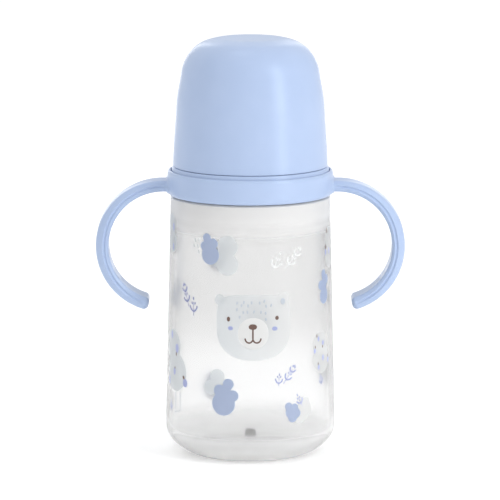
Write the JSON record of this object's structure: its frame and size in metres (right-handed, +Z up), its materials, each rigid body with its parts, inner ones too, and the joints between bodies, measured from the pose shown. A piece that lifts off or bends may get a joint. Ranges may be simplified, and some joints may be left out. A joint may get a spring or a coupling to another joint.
{
  "type": "baby bottle",
  "caption": "Wide-neck baby bottle with a translucent body, a screw-on collar with two open side handles, a silicone teat and a push-on dust cap.",
  "frame": {"origin": "centre of the foot, on the surface that the bottle stands on", "axes": "+Z up the bottle to the cap; the handles lie along X; the printed front faces -Y"},
  "size_m": [0.12, 0.066, 0.1623],
  "materials": {
    "clear_body": "milky translucent polypropylene with printed decoration",
    "silicone": "soft translucent silicone",
    "blue_plastic": "smooth pale blue moulded plastic"
  },
  "bodies": {
    "bottle": {"bottle": "clear_body"},
    "teat": {"teat": "silicone"},
    "collar": {"screw_ring": "blue_plastic", "handle_ring": "blue_plastic"},
    "cap": {"cap": "blue_plastic"}
  },
  "joints": [
    {"name": "teat_lift", "type": "slide", "parent": "bottle", "child": "teat", "axis": [0, 0, 1], "range_m": [0, 0.00434]},
    {"name": "collar_turn", "type": "hinge", "parent": "teat", "child": "collar", "pos_m": [0, 0, 0.105], "axis": [0, 0, 1], "range_deg": [0, 390]},
    {"name": "cap_pull", "type": "slide", "parent": "collar", "child": "cap", "axis": [0, 0, 1], "range_m": [0, 0.045]}
  ],
  "couplings": [
    {"joint": "teat_lift", "follows": "collar_turn", "m_per_rad": 0.00063662}
  ]
}
